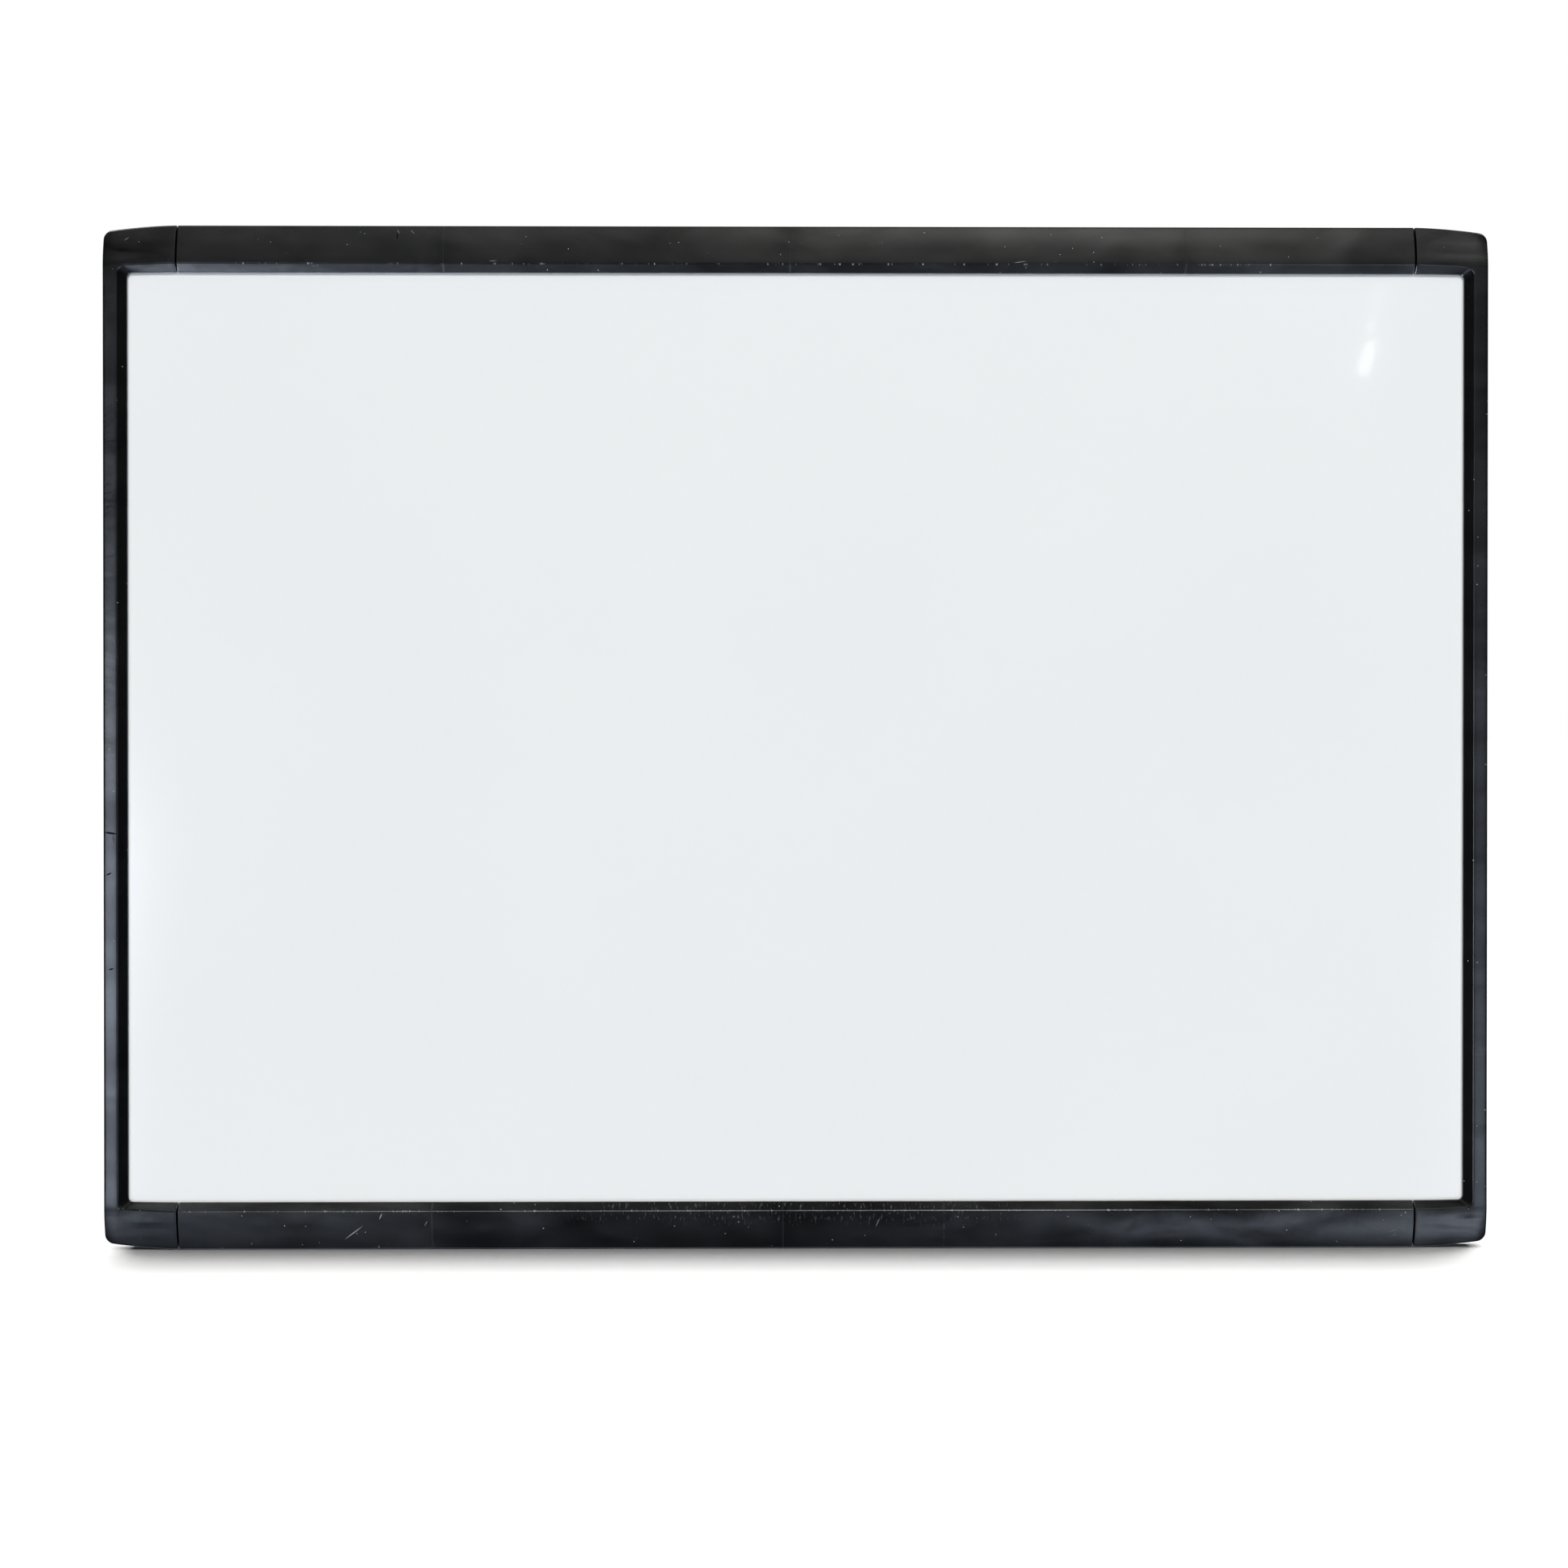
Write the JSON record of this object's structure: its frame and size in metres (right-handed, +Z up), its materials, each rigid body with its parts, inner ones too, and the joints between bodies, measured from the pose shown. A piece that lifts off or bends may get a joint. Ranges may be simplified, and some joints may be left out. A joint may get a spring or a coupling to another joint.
{
  "type": "magnetic whiteboard",
  "caption": "Wall-hung magnetic dry-erase board: a white enamelled steel face in a black moulded plastic frame with tapered rounded ends.",
  "frame": {"origin": "in the wall plane, midway between the slot ends of the two upper keyholes", "axes": "+X along the width to the right as seen from the front, +Y into the wall, +Z up"},
  "size_m": [0.584, 0.0166, 0.432],
  "materials": {
    "frame_plastic": "black moulded plastic, fine matt grain with a soft sheen",
    "enamelled_steel": "glossy bluish white dry-erase coating",
    "core_paper": "brown paper honeycomb core",
    "backing_board": "grey fibreboard",
    "key_plastic": "dark moulded plastic",
    "screw_steel": "zinc plated steel",
    "bumper_rubber": "soft black rubber"
  },
  "bodies": {
    "root": {"left_end_frame": "frame_plastic", "right_end_frame": "frame_plastic", "top_rail": "frame_plastic", "bottom_rail": "frame_plastic", "writing_sheet": "enamelled_steel", "core_board": "core_paper", "backing_board": "backing_board", "splice_key_top_left": "key_plastic", "end_screw_top_left": "screw_steel", "rail_screw_top_left": "screw_steel", "wall_bumper_top_left": "bumper_rubber", "splice_key_top_right": "key_plastic", "end_screw_top_right": "screw_steel", "rail_screw_top_right": "screw_steel", "wall_bumper_top_right": "bumper_rubber", "splice_key_bottom_left": "key_plastic", "end_screw_bottom_left": "screw_steel", "rail_screw_bottom_left": "screw_steel", "wall_bumper_bottom_left": "bumper_rubber", "splice_key_bottom_right": "key_plastic", "end_screw_bottom_right": "screw_steel", "rail_screw_bottom_right": "screw_steel", "wall_bumper_bottom_right": "bumper_rubber"}
  },
  "joints": []
}
